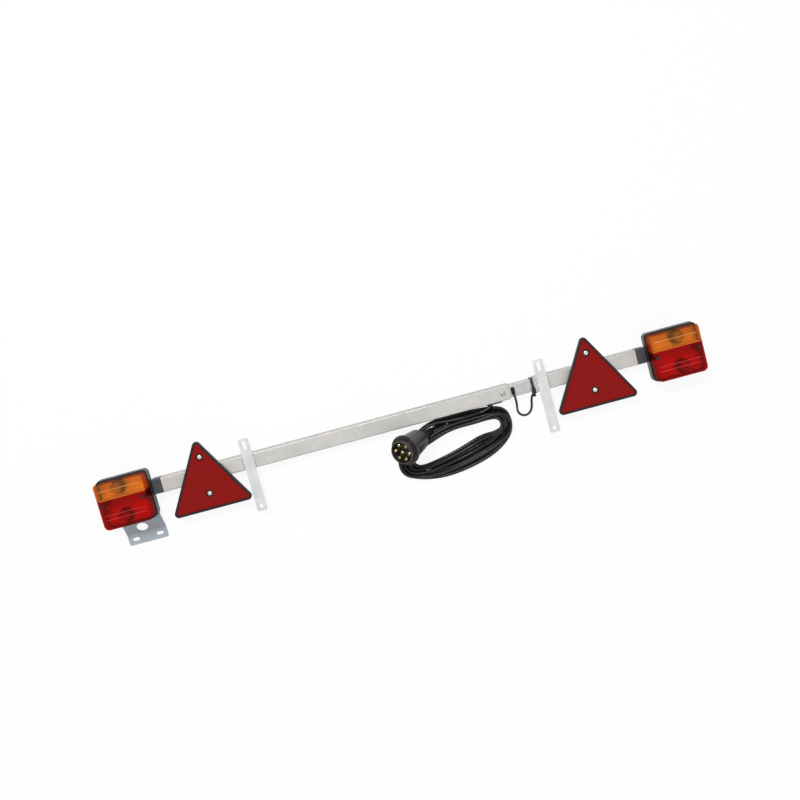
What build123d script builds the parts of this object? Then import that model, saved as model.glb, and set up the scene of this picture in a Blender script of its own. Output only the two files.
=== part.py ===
from build123d import *
import os
from math import cos, radians, sin, tan

# Trailer lighting board: two rear lamps and two triangular reflectors on a telescopic square bar,
# with flat fixing straps, a number plate bracket, a coiled cable and a plug with seven pins.
# X runs along the bar, Y towards the lamps' top edge and Z out of the lenses, in millimetres.
# The bar lies on its back: the back faces of its tubes are at Z = 0 and its axis is at Y = 0.

os.makedirs("parts", exist_ok=True)

# Bar: an outer tube at each end and an inner tube that slides out of the left one
tube_side = 30.0
tube_wall = 2.0
tube_corner = 2.5
left_tube_length = 702.0
right_tube_length = 204.0
mouth_gap = 51.0
inner_wall = 1.5
inner_corner = 2.0
inner_end_clearance = 142.0
inner_in_right = 120.0
slide_clearance = 0.5
slide_travel = 400.0

# Clamp screw in the left tube's mouth and the blind rivets that hold the right tube
clamp_inset = 13.0
clamp_diameter = 6.0
clamp_head_diameter = 10.0
clamp_head_height = 4.0
clamp_head_round = 1.6
clamp_socket_across = 5.0
clamp_socket_depth = 2.5
clamp_tip_gap = 0.2
rivet_diameter = 4.0
rivet_head_diameter = 7.5
rivet_head_height = 1.5
rivet_head_round = 1.0
rivet_insets = (40.0, 95.0)
thread_fit = 0.1

# Fixing straps, welded across the front of the tubes
strap_width = 20.0
strap_length = 147.0
strap_thickness = 3.0
strap_corner = 3.0
strap_top = 47.0
strap_slot_width = 7.0
strap_slot_length = 18.0
strap_slot_inset = 14.0
strap_hole_diameter = 8.0
strap_hole_inset = 9.0
left_strap_inset = 176.5
right_strap_inset = 16.5

# Triangular reflectors: a black tray with a red prism plate, each on a strip welded to the tube
reflector_side = 167.0
reflector_corner = 8.0
reflector_y = -22.8
reflector_depth = 8.5
reflector_floor = 2.0
reflector_rim = 4.5
reflector_rim_round = 1.5
reflector_fit = 0.2
prism_recess = 0.7
well_diameter = 14.5
well_height = 4.6
upper_screw_offset = 58.0
lower_screw_offset = -16.0
left_reflector_gap = 89.5
right_reflector_gap = 93.5
strip_width = 20.0
strip_thickness = 2.5
strip_margin = 10.0

# Screws and nuts of the reflectors, and the bolts of the lamps
screw_diameter = 5.0
screw_hole_fit = 0.2
dome_diameter = 9.5
dome_height = 3.2
dome_round = 2.5
cross_share = 0.55
cross_width_share = 0.16
cross_depth = 1.5
nut_across = 8.0
nut_height = 4.0
bolt_head_height = 3.2
bolt_spacing = 44.0
bolt_end = 2.0

# Lamp holder: a spigot in the tube, a neck and a plate behind the lamp
holder_fit = 0.2
spigot_length = 45.0
spigot_chamfer = 2.0
lamp_gap = 19.5
neck_gap = 0.5
plate_step = 4.0
seat_z = 19.0
plate_thickness = 6.0
plate_height = 56.0
plate_overhang = 34.0
plate_corner = 6.0
rib_thickness = 4.0
rib_length = 20.0
lead_hole_diameter = 8.0
lead_hole_wall = 1.0
lead_hole_in = 36.0
lead_hole_down = 20.0

# Lamp housing, gasket and two-colour lens
lamp_width = 104.0
lamp_height = 98.0
lamp_y = -8.0
lamp_top_corner = 9.0
lamp_bottom_corner = 13.0
base_depth = 20.0
base_wall = 2.5
base_floor = 3.0
base_draft = 2.0
gasket_thickness = 1.0
lens_inset = 1.5
lens_depth = 33.0
lens_wall = 2.5
lens_draft = 3.0
lens_edge = 4.0
colour_split = 12.0
amber_ridge_offsets = (31.0,)
red_ridge_offsets = (-17.0, -26.0)
ridge_width = 2.4
ridge_height = 1.2
ridge_round = 1.1
ridge_margin = 9.0
lens_screw_x = 41.0
lens_screw_y = 1.0
lens_screw_diameter = 3.5
lens_screw_length = 14.0
lens_head_diameter = 6.5
lens_head_height = 1.8
lens_head_round = 0.8
lens_recess_diameter = 8.0
lens_recess_depth = 1.5
post_diameter = 8.0
post_gap = 0.3

# Reflector plate, bulb holders and bulbs inside the lamp
carrier_lift = 4.0
carrier_thickness = 2.0
carrier_gap = 0.4
carrier_boss_diameter = 7.0
carrier_boss_x = 30.0
carrier_boss_y = 36.0
partition_thickness = 2.0
partition_gap = 1.0
bulb_outward = 10.0
indicator_bulb_y = 29.0
stop_bulb_y = -29.0
socket_flange_diameter = 28.0
socket_flange_height = 5.0
socket_diameter = 19.0
socket_height = 11.0
socket_floor = 1.5
cap_diameter = 15.0
cap_height = 14.0
cap_fit = 0.2
glass_diameter = 23.0
glass_neck_diameter = 13.0
glass_height = 24.0

# Number plate bracket: a folded sheet between the left lamp and its holder
bracket_sheet = 1.5
bracket_width = 80.0
bracket_shift = 9.0
bracket_top = 14.0
bracket_bend_y = -58.0
bracket_slope_y = -84.0
bracket_bottom_y = -106.0
bracket_flange_z = 1.5
bracket_bend_radius = 2.0
bracket_corner = 4.0
bracket_hole_diameter = 22.0
bracket_hole_shift = 4.0
bracket_hole_y = -72.0
bracket_slot_spacing = 49.0
bracket_slot_length = 14.0
bracket_slot_width = 6.0
bracket_slot_y = -95.0

# Cables: the main cable with its outlet and hank, and the loop that bridges the two tubes
cable_diameter = 7.0
outlet_inset = 38.5
outlet_z = 17.5
outlet_angle = 30.0
outlet_flange_length = 32.0
outlet_flange_width = 16.0
outlet_flange_thickness = 2.5
outlet_neck_length = 24.0
outlet_neck_width = 11.0
outlet_fit = 0.2
cable_fit = 0.1
lead_inside = 15.0
lead_outside = 11.0
inner_slot_width = 16.0
inner_slot_margin = 24.0
hank_height = 28.0
hank_low_height = 15.0
hank_near_y = -20.0
hank_far_y = -136.0
hank_outer = [
    (-166, -34), (-128, -21), (-75, -19), (-20, -19.5), (8, -23), (31, -37), (38, -60), (27, -86),
    (-15, -117), (-105, -136), (-180, -125), (-210, -92), (-198, -55),
]
hank_inner = [
    (-35, -42), (-11, -48), (-25, -62), (-67, -77), (-115, -90),
    (-149, -95), (-162, -84), (-137, -60), (-85, -46),
]
link_diameter = 4.5
link_hole_inset = 7.5
link_hole_y = -1.0
link_hole_width = 8.0
link_hole_length = 16.0
link_notch_z = 20.0
link_notch_width = 8.0
link_notch_length = 18.0
run_share = 0.45
link_route = [
    (7.5, 8, 21.5), (7.6, -1.5, 27), (8, -12, 32.3), (8.4, -23, 31.8), (8.2, -32, 24.5),
    (7.7, -39, 14.8), (8.5, -47.5, 6), (15.7, -56.5, 2.6), (27.7, -57, 2.6), (36.1, -48.5, 3.6),
    (38.5, -37.5, 8), (39.7, -27, 13.6), (44, -17.8, 18.6), (54.3, -14.6, 20), (64.5, -10.4, 20.2),
    (72, -4, 20),
]

# Cable tie round the inner tube and the link cable
tie_inset = 4.2
tie_width = 4.8
tie_thickness = 1.3
tie_fit = 0.2
tie_slack = 5.0
tie_corner = 1.5
tie_head_length = 8.0
tie_head_height = 5.0

# Plug with seven pins, propped on the hank
plug_offset = -193.0
plug_y = -50.3
plug_z = 104.0
plug_turn = 192.8
plug_rise = 54.0
plug_length = 112.0
plug_nose_diameter = 46.0
plug_nose_length = 13.0
plug_nose_round = 1.0
plug_collar_diameter = 60.0
plug_collar_end = 18.0
plug_collar_round = 1.5
plug_barrel_diameter = 54.0
plug_barrel_end_diameter = 43.0
plug_barrel_end = 64.0
plug_shoulder_end = 72.0
plug_wall = 2.5
plug_lip = 1.5
plug_recess = 16.0
plug_insert_thickness = 8.0
plug_insert_fit = 0.2
plug_key_width = 6.0
plug_key_height = 1.5
plug_nut_diameter = 27.0
plug_nut_end = 82.0
plug_nut_sides = 12
plug_neck_diameter = 18.0
plug_tip_diameter = 11.0
pin_circle_radius = 15.0
pin_count = 6
pin_diameter = 6.5
pin_tip_gap = 2.5
pin_chamfer = 1.0
pin_slit = 0.8
pin_slit_depth = 4.0
pin_tail = 6.0
pin_fit = 0.1
tail_length = 8.0
plug_pocket_gap = 0.8

# Places worked out from the sizes above
axis_z = tube_side / 2
tube_bore = tube_side - 2 * tube_wall
inner_side = tube_bore - 2 * slide_clearance
inner_front_z = axis_z + inner_side / 2
bar_length = left_tube_length + mouth_gap + right_tube_length
left_end_x = -bar_length / 2
left_mouth_x = left_end_x + left_tube_length
right_mouth_x = left_mouth_x + mouth_gap
inner_start_x = left_end_x + inner_end_clearance
inner_end_x = right_mouth_x + inner_in_right
clamp_x = left_mouth_x - clamp_inset
tie_x = right_mouth_x - tie_inset
lamp_x = bar_length / 2 + lamp_gap + lamp_width / 2
plate_back_z = seat_z - plate_thickness
screw_hole_radius = screw_diameter / 2 + screw_hole_fit
screw_offsets = [(0, upper_screw_offset), (0, lower_screw_offset)]
bolt_points = [(-bolt_spacing / 2, 0), (bolt_spacing / 2, 0)]
lens_screw_points = [(-lens_screw_x, lens_screw_y), (lens_screw_x, lens_screw_y)]
base_inset = base_wall + base_depth * tan(radians(base_draft))
lens_back = base_depth + gasket_thickness
lens_front = lens_back + lens_depth
outlet_x = left_mouth_x - outlet_inset
outlet_centre_x = outlet_x + (outlet_flange_thickness + tube_wall / 2) / tan(radians(outlet_angle))
carrier_back = base_floor + carrier_lift
carrier_front = carrier_back + carrier_thickness


def save(part, name):
    """Labels a finished piece and writes it."""
    part.label = name
    export_step(part, f"parts/{name}.step")


def square_tube(side, wall, corner, start_x, length):
    """Square tube along the bar's axis."""
    with BuildPart() as tube:
        with BuildSketch(Plane.YZ.offset(start_x)):
            with Locations((0, axis_z)):
                RectangleRounded(side, side, corner)
                RectangleRounded(side - 2 * wall, side - 2 * wall, corner - wall, mode=Mode.SUBTRACT)
        extrude(amount=length)
    return tube.part


def strap(x):
    """Flat strap across the tube's front, with a slot at its top and a hole at its foot."""
    with BuildPart() as plate:
        with BuildSketch(Plane.XY.offset(tube_side)):
            with Locations((x, strap_top - strap_length / 2)):
                RectangleRounded(strap_width, strap_length, strap_corner)
            with Locations((x, strap_top - strap_slot_inset)):
                SlotOverall(strap_slot_length, strap_slot_width, rotation=90, mode=Mode.SUBTRACT)
            with Locations((x, strap_top - strap_length + strap_hole_inset)):
                Circle(strap_hole_diameter / 2, mode=Mode.SUBTRACT)
        extrude(amount=strap_thickness)
    return plate.part


def reflector_outline(plane, inset):
    """Triangle with rounded corners and its point up, drawn smaller by inset."""
    with BuildSketch(plane) as outline:
        RegularPolygon(reflector_side / 3**0.5 - 2 * inset, 3, rotation=90)
        fillet(outline.vertices(), reflector_corner - inset)
    return outline.sketch


def reflector_strip(x):
    """Flat strip on the tube's front that carries a reflector above and below the tube."""
    top = reflector_y + upper_screw_offset + strip_margin
    bottom = reflector_y + lower_screw_offset - strip_margin
    with BuildPart() as strip:
        with BuildSketch(Plane.XY.offset(tube_side)):
            with Locations((x, (top + bottom) / 2)):
                RectangleRounded(strip_width, top - bottom, strap_corner)
            with Locations((x, reflector_y)):
                with Locations(*screw_offsets):
                    Circle(screw_hole_radius, mode=Mode.SUBTRACT)
        extrude(amount=strip_thickness)
    return strip.part


def reflector_tray(plane):
    """Black tray: a floor, a rim and a boss under each screw head."""
    with BuildPart() as tray:
        extrude(reflector_outline(plane, 0), amount=reflector_depth)
        fillet(tray.faces().sort_by(Axis.Z)[-1].edges(), reflector_rim_round)
        pocket = reflector_outline(plane.offset(reflector_floor), reflector_rim)
        extrude(pocket, amount=reflector_depth, mode=Mode.SUBTRACT)
        with BuildSketch(plane.offset(reflector_floor)):
            with Locations(*screw_offsets):
                Circle(well_diameter / 2 - reflector_fit)
        extrude(amount=well_height - reflector_floor)
        with BuildSketch(plane):
            with Locations(*screw_offsets):
                Circle(screw_hole_radius)
        extrude(amount=well_height, mode=Mode.SUBTRACT)
    return tray.part


def reflector_prism(plane):
    """Red plate in the tray, open round the two screw bosses."""
    with BuildPart() as prism:
        outline = reflector_outline(plane.offset(reflector_floor), reflector_rim + reflector_fit)
        extrude(outline, amount=reflector_depth - reflector_floor - prism_recess)
        fillet(prism.faces().sort_by(Axis.Z)[-1].edges(), prism_recess)
        with BuildSketch(plane):
            with Locations(*screw_offsets):
                Circle(well_diameter / 2)
        extrude(amount=reflector_depth, mode=Mode.SUBTRACT)
    return prism.part


def cross_recesses(plane, points, head_diameter):
    """Cross-shaped recesses for a driver, as a solid to cut out of screw heads."""
    size = head_diameter * cross_share
    width = head_diameter * cross_width_share
    with BuildPart() as recesses:
        with BuildSketch(plane):
            with Locations(*points):
                Rectangle(size, width)
                Rectangle(width, size)
        extrude(amount=-cross_depth)
    return recesses.part


def reflector_screws(plane):
    """Two domed screws through the tray and the strip."""
    with BuildPart() as screws:
        with BuildSketch(plane.offset(well_height)):
            with Locations(*screw_offsets):
                Circle(dome_diameter / 2)
        extrude(amount=dome_height)
        fillet(screws.edges().group_by(Axis.Z)[-1], dome_round)
        with BuildSketch(plane.offset(well_height)):
            with Locations(*screw_offsets):
                Circle(screw_diameter / 2)
        extrude(amount=-(well_height + strip_thickness + nut_height + bolt_end))
        top = plane.offset(well_height + dome_height)
        add(cross_recesses(top, screw_offsets, dome_diameter), mode=Mode.SUBTRACT)
    return screws.part


def hex_nuts(plane, points):
    """Hexagon nuts that hang under a plane, with their screw holes."""
    with BuildPart() as nuts:
        with BuildSketch(plane):
            with Locations(*points):
                RegularPolygon(nut_across / 2, 6, major_radius=False)
                Circle(screw_diameter / 2 + thread_fit, mode=Mode.SUBTRACT)
        extrude(amount=-nut_height)
    return nuts.part


def lamp_outline(plane, inset):
    """Outline of the lamp, rounder at its lower corners, drawn smaller by inset."""
    with BuildSketch(plane) as outline:
        Rectangle(lamp_width - 2 * inset, lamp_height - 2 * inset)
        fillet(outline.vertices().group_by(Axis.Y)[-1], lamp_top_corner - inset)
        fillet(outline.vertices().group_by(Axis.Y)[0], lamp_bottom_corner - inset)
    return outline.sketch


def lamp_holder(side, plane):
    """Black holder: its spigot fills the tube's end and its plate lies behind the lamp."""
    section = tube_bore - 2 * holder_fit
    spigot_end = side * (bar_length / 2 - spigot_length)
    neck_end = side * (bar_length / 2 + lamp_gap - neck_gap)
    plate_start = neck_end + side * (neck_gap + plate_step)
    plate_end = side * (lamp_x + plate_overhang)
    plate_middle = (plate_start + plate_end) / 2
    tongue_start = neck_end - side * plate_corner
    tongue_end = plate_start + side * plate_corner
    bore_z = plate_back_z - lead_hole_wall - lead_hole_diameter / 2
    with BuildPart() as holder:
        with BuildSketch(Plane.YZ.offset(spigot_end)):
            with Locations((0, axis_z)):
                RectangleRounded(section, section, tube_corner)
        extrude(amount=neck_end - spigot_end)
        chamfer(holder.faces().sort_by(Axis.X)[0 if side > 0 else -1].edges(), spigot_chamfer)
        with BuildSketch(Plane.YZ.offset(side * bar_length / 2)):
            with Locations((0, axis_z)):
                RectangleRounded(tube_side, tube_side, tube_corner)
        extrude(amount=neck_end - side * bar_length / 2)
        with BuildSketch(Plane.XY.offset(plate_back_z)):
            with Locations((plate_middle, lamp_y)):
                RectangleRounded(abs(plate_end - plate_start), plate_height, plate_corner)
            with Locations(((tongue_start + tongue_end) / 2, 0)):
                Rectangle(abs(tongue_end - tongue_start), section)
        extrude(amount=plate_thickness)
        with BuildSketch(Plane.XZ.offset(-section / 2)):
            with BuildLine():
                Polyline(
                    (neck_end - side, axis_z - section / 2 + tube_corner),
                    (neck_end + side * rib_length, plate_back_z),
                    (neck_end - side, plate_back_z),
                    close=True,
                )
            make_face()
        ribs = extrude(amount=rib_thickness)
        mirror(ribs, about=Plane.XZ)
        with BuildSketch(Plane.YZ.offset(spigot_end)):
            with Locations((0, bore_z)):
                Circle(lead_hole_diameter / 2)
        extrude(amount=neck_end - spigot_end + side * rib_length, mode=Mode.SUBTRACT)
        with BuildSketch(plane.offset(-plate_thickness - bracket_sheet)):
            with Locations(*bolt_points):
                Circle(screw_hole_radius)
            with Locations((-side * lead_hole_in, -lead_hole_down)):
                Circle(lead_hole_diameter / 2)
        extrude(amount=plate_thickness + bracket_sheet, mode=Mode.SUBTRACT)
    return holder.part


def lamp_base(side, plane):
    """Housing: a drafted tray with bosses for the reflector plate and posts for the lens screws."""
    with BuildPart() as base:
        extrude(lamp_outline(plane, 0), amount=base_depth, taper=base_draft)
        pocket = lamp_outline(plane.offset(base_floor), base_inset)
        extrude(pocket, amount=base_depth, mode=Mode.SUBTRACT)
        with BuildSketch(plane.offset(base_floor)):
            with GridLocations(2 * carrier_boss_x, 2 * carrier_boss_y, 2, 2):
                Circle(carrier_boss_diameter / 2)
        extrude(amount=carrier_lift)
        with BuildSketch(plane.offset(base_floor)):
            with Locations(*lens_screw_points):
                Circle(post_diameter / 2)
        extrude(amount=lens_front - lens_wall - post_gap - base_floor)
        with BuildSketch(plane.offset(lens_front - lens_wall - post_gap)):
            with Locations(*lens_screw_points):
                Circle(lens_screw_diameter / 2 + thread_fit)
        extrude(amount=-lens_screw_length, mode=Mode.SUBTRACT)
        with BuildSketch(plane):
            with Locations(*bolt_points):
                Circle(screw_hole_radius)
            with Locations((-side * lead_hole_in, -lead_hole_down)):
                Circle(lead_hole_diameter / 2)
        extrude(amount=base_floor, mode=Mode.SUBTRACT)
    return base.part


def lamp_gasket(plane):
    """Flat seal between the housing's rim and the lens."""
    with BuildPart() as gasket:
        extrude(lamp_outline(plane.offset(base_depth), lens_inset), amount=gasket_thickness)
        hole = lamp_outline(plane.offset(base_depth), lens_inset + lens_wall)
        extrude(hole, amount=gasket_thickness, mode=Mode.SUBTRACT)
    return gasket.part


def lens_half(plane, keep):
    """Drafted lens shell, cut where its two colours meet."""
    cut = Plane(plane.from_local_coords(Vector(0, colour_split, 0)), x_dir=(1, 0, 0), z_dir=(0, 1, 0))
    with BuildPart() as lens:
        extrude(lamp_outline(plane.offset(lens_back), lens_inset), amount=lens_depth, taper=lens_draft)
        fillet(lens.faces().sort_by(Axis.Z)[-1].edges(), lens_edge)
        hollow = lamp_outline(plane.offset(lens_back), lens_inset + lens_wall)
        extrude(hollow, amount=lens_depth - lens_wall, taper=lens_draft, mode=Mode.SUBTRACT)
        split(bisect_by=cut, keep=keep)
    return lens.part


def lens_ridges(plane, offsets):
    """Half-round ridges across the front of the lens."""
    with BuildPart() as ridges:
        with BuildSketch(plane.offset(lens_front - lens_wall / 2)):
            for offset_y in offsets:
                with Locations((0, offset_y)):
                    SlotOverall(lamp_width - 2 * (lens_inset + ridge_margin), ridge_width)
        extrude(amount=lens_wall / 2 + ridge_height)
        fillet(ridges.edges().group_by(Axis.Z)[-1], ridge_round)
    return ridges.part


def amber_lens(plane):
    """Upper lens colour, with a ridge across it."""
    with BuildPart() as lens:
        add(lens_half(plane, Keep.TOP))
        add(lens_ridges(plane, amber_ridge_offsets))
    return lens.part


def red_lens(plane):
    """Lower lens colour, with two ridges across it and recesses for the lens screws."""
    with BuildPart() as lens:
        add(lens_half(plane, Keep.BOTTOM))
        add(lens_ridges(plane, red_ridge_offsets))
        with BuildSketch(plane.offset(lens_front)):
            with Locations(*lens_screw_points):
                Circle(lens_recess_diameter / 2)
        extrude(amount=-lens_recess_depth, mode=Mode.SUBTRACT)
        with BuildSketch(plane.offset(lens_front)):
            with Locations(*lens_screw_points):
                Circle(lens_screw_diameter / 2 + thread_fit)
        extrude(amount=-lens_wall, mode=Mode.SUBTRACT)
    return lens.part


def lens_screws(plane):
    """Two pan-head screws that hold the lens on the housing's posts."""
    seat = lens_front - lens_recess_depth
    with BuildPart() as screws:
        with BuildSketch(plane.offset(seat)):
            with Locations(*lens_screw_points):
                Circle(lens_head_diameter / 2)
        extrude(amount=lens_head_height)
        fillet(screws.edges().group_by(Axis.Z)[-1], lens_head_round)
        with BuildSketch(plane.offset(seat)):
            with Locations(*lens_screw_points):
                Circle(lens_screw_diameter / 2)
        extrude(amount=-(lens_screw_length - 2 * post_gap))
        top = plane.offset(seat + lens_head_height)
        add(cross_recesses(top, lens_screw_points, lens_head_diameter), mode=Mode.SUBTRACT)
    return screws.part


def lamp_bolts(plane, grip):
    """Two bolts from inside the housing through its holder, with a nut behind."""
    with BuildPart() as bolts:
        with BuildSketch(plane.offset(base_floor)):
            with Locations(*bolt_points):
                RegularPolygon(nut_across / 2, 6, major_radius=False)
        extrude(amount=bolt_head_height)
        with BuildSketch(plane.offset(base_floor)):
            with Locations(*bolt_points):
                Circle(screw_diameter / 2)
        extrude(amount=-(base_floor + grip + nut_height + bolt_end))
    return bolts.part


def bulb_points(side):
    """Centres of the indicator bulb and the stop bulb."""
    return [(side * bulb_outward, indicator_bulb_y), (side * bulb_outward, stop_bulb_y)]


def bulb_carrier(plane):
    """White reflector plate with the wall that parts the two colours of light."""
    inset = base_inset + carrier_gap
    wall_top = lens_front - lens_wall - partition_gap
    wall_width = lamp_width - 2 * (lens_inset + lens_wall + partition_gap)
    wall_width -= 2 * lens_depth * tan(radians(lens_draft))
    with BuildPart() as carrier:
        extrude(lamp_outline(plane.offset(carrier_back), inset), amount=carrier_thickness)
        with BuildSketch(plane.offset(carrier_front)):
            with Locations((0, colour_split)):
                Rectangle(wall_width, partition_thickness)
        extrude(amount=wall_top - carrier_front)
        with BuildSketch(plane.offset(carrier_back)):
            with Locations(*lens_screw_points):
                Circle(post_diameter / 2 + carrier_gap)
        extrude(amount=carrier_thickness, mode=Mode.SUBTRACT)
    return carrier.part


def bulb_sockets(side, plane):
    """Two round bulb holders on the reflector plate."""
    with BuildPart() as sockets:
        with BuildSketch(plane.offset(carrier_front)):
            with Locations(*bulb_points(side)):
                Circle(socket_flange_diameter / 2)
        extrude(amount=socket_flange_height)
        with BuildSketch(plane.offset(carrier_front)):
            with Locations(*bulb_points(side)):
                Circle(socket_diameter / 2)
        extrude(amount=socket_height)
        with BuildSketch(plane.offset(carrier_front + socket_floor)):
            with Locations(*bulb_points(side)):
                Circle(cap_diameter / 2 + cap_fit)
        extrude(amount=socket_height, mode=Mode.SUBTRACT)
    return sockets.part


def bulb_caps(side, plane):
    """Brass caps of the two bulbs, standing in their holders."""
    with BuildPart() as caps:
        with BuildSketch(plane.offset(carrier_front + socket_floor)):
            with Locations(*bulb_points(side)):
                Circle(cap_diameter / 2)
        extrude(amount=cap_height)
    return caps.part


def bulb_glasses(side, plane):
    """Glass of the two bulbs: a neck on the cap and a ball."""
    radius = glass_diameter / 2
    foot = carrier_front + socket_floor + cap_height
    with BuildPart() as glasses:
        for x, y in bulb_points(side):
            with Locations(plane.offset(foot)):
                with Locations((x, y, 0)):
                    Cylinder(
                        glass_neck_diameter / 2,
                        glass_height - radius,
                        align=(Align.CENTER, Align.CENTER, Align.MIN),
                    )
                with Locations((x, y, glass_height - radius)):
                    Sphere(radius)
    return glasses.part


def plate_bracket(plane):
    """Folded bracket under the left lamp: a seat, a slope with a large hole and a slotted flange."""
    centre_x = -lamp_x + bracket_shift
    slope = (seat_z - bracket_flange_z) / (bracket_bend_y - bracket_slope_y)
    hole_z = seat_z + slope * (bracket_hole_y - bracket_bend_y)
    slope_plane = Plane(
        (centre_x - bracket_hole_shift, bracket_hole_y, hole_z), x_dir=(1, 0, 0), z_dir=(0, -slope, 1)
    )
    with BuildPart() as bracket:
        with BuildSketch(Plane.YZ.offset(centre_x - bracket_width / 2)):
            with BuildLine():
                FilletPolyline(
                    (bracket_top, seat_z),
                    (bracket_bend_y, seat_z),
                    (bracket_slope_y, bracket_flange_z),
                    (bracket_bottom_y, bracket_flange_z),
                    radius=bracket_bend_radius,
                )
                offset(amount=bracket_sheet, side=Side.RIGHT)
            make_face()
        extrude(amount=bracket_width)
        ends = bracket.edges().filter_by(Axis.Z)
        fillet(ends, bracket_corner)
        with BuildSketch(slope_plane):
            Circle(bracket_hole_diameter / 2)
        extrude(amount=2 * bracket_sheet, both=True, mode=Mode.SUBTRACT)
        with BuildSketch(Plane.XY.offset(bracket_flange_z)):
            with Locations((centre_x, bracket_slot_y)):
                with GridLocations(bracket_slot_spacing, 0, 2, 1):
                    SlotOverall(bracket_slot_length, bracket_slot_width)
        extrude(amount=bracket_sheet, mode=Mode.SUBTRACT)
        with BuildSketch(plane):
            with Locations(*bolt_points):
                Circle(screw_hole_radius)
            with Locations((lead_hole_in, -lead_hole_down)):
                Circle(lead_hole_diameter / 2)
        extrude(amount=-bracket_sheet, mode=Mode.SUBTRACT)
    return bracket.part


def route_radii(points):
    """Tangent arcs for a cord's corners, each as large as its shorter run allows."""
    radii = []
    for before, here, after in zip(points, points[1:], points[2:]):
        run_in = Vector(here) - Vector(before)
        run_out = Vector(after) - Vector(here)
        half_turn = radians(run_in.get_angle(run_out) / 2)
        radii.append(run_share * min(run_in.length, run_out.length) / tan(half_turn))
    return radii


# Tubes of the bar
with BuildPart() as left_tube:
    add(square_tube(tube_side, tube_wall, tube_corner, left_end_x, left_tube_length))
    with BuildSketch(Plane.XY.offset(tube_side)):
        with Locations((clamp_x, 0)):
            Circle(clamp_diameter / 2 + thread_fit)
    extrude(amount=-tube_wall, mode=Mode.SUBTRACT)
    with BuildSketch(Plane.XZ.offset(tube_side / 2)):
        with Locations((outlet_centre_x, outlet_z)):
            SlotOverall(outlet_neck_length, outlet_neck_width)
    extrude(amount=-tube_wall, mode=Mode.SUBTRACT)
save(left_tube.part, "left_tube")

rivet_points = [(right_mouth_x + inset, axis_z) for inset in rivet_insets]
with BuildPart() as right_tube:
    add(square_tube(tube_side, tube_wall, tube_corner, right_mouth_x, right_tube_length))
    with BuildSketch(Plane.XZ.offset(tube_side / 2)):
        with Locations((right_mouth_x, link_notch_z)):
            SlotOverall(2 * link_notch_length, link_notch_width)
        with Locations(*rivet_points):
            Circle(rivet_diameter / 2 + thread_fit)
    extrude(amount=-tube_wall, mode=Mode.SUBTRACT)
save(right_tube.part, "right_tube")

slot_start_x = outlet_centre_x - slide_travel - inner_slot_margin
slot_end_x = outlet_centre_x + inner_slot_margin
with BuildPart() as inner_tube:
    add(square_tube(inner_side, inner_wall, inner_corner, inner_start_x, inner_end_x - inner_start_x))
    with BuildSketch(Plane.XZ.offset(inner_side / 2)):
        with Locations(((slot_start_x + slot_end_x) / 2, outlet_z)):
            SlotOverall(slot_end_x - slot_start_x + inner_slot_width, inner_slot_width)
        with Locations((right_mouth_x + link_notch_length / 2, link_notch_z)):
            SlotOverall(2 * link_notch_length, link_notch_width)
        with Locations(*rivet_points):
            Circle(rivet_diameter / 2 + thread_fit)
    extrude(amount=-inner_wall, mode=Mode.SUBTRACT)
    with BuildSketch(Plane.XY.offset(inner_front_z)):
        with Locations((left_mouth_x + link_hole_inset, link_hole_y)):
            SlotOverall(link_hole_length, link_hole_width, rotation=90)
    extrude(amount=-inner_wall, mode=Mode.SUBTRACT)
save(inner_tube.part, "inner_tube")

with BuildPart() as extension_rivets:
    with BuildSketch(Plane.XZ.offset(tube_side / 2)):
        with Locations(*rivet_points):
            Circle(rivet_head_diameter / 2)
    extrude(amount=rivet_head_height)
    fillet(extension_rivets.edges().group_by(Axis.Y)[0], rivet_head_round)
    with BuildSketch(Plane.XZ.offset(tube_side / 2)):
        with Locations(*rivet_points):
            Circle(rivet_diameter / 2)
    extrude(amount=-(tube_wall + slide_clearance + inner_wall))
save(extension_rivets.part, "extension_rivets")

with BuildPart() as clamp_screw:
    with BuildSketch(Plane.XY.offset(tube_side)):
        with Locations((clamp_x, 0)):
            Circle(clamp_head_diameter / 2)
    extrude(amount=clamp_head_height)
    fillet(clamp_screw.edges().group_by(Axis.Z)[-1], clamp_head_round)
    with BuildSketch(Plane.XY.offset(tube_side)):
        with Locations((clamp_x, 0)):
            Circle(clamp_diameter / 2)
    extrude(amount=-(tube_wall + slide_clearance - clamp_tip_gap))
    with BuildSketch(Plane.XY.offset(tube_side + clamp_head_height)):
        with Locations((clamp_x, 0)):
            RegularPolygon(clamp_socket_across / 2, 6, major_radius=False)
    extrude(amount=-clamp_socket_depth, mode=Mode.SUBTRACT)
save(clamp_screw.part, "clamp_screw")

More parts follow.
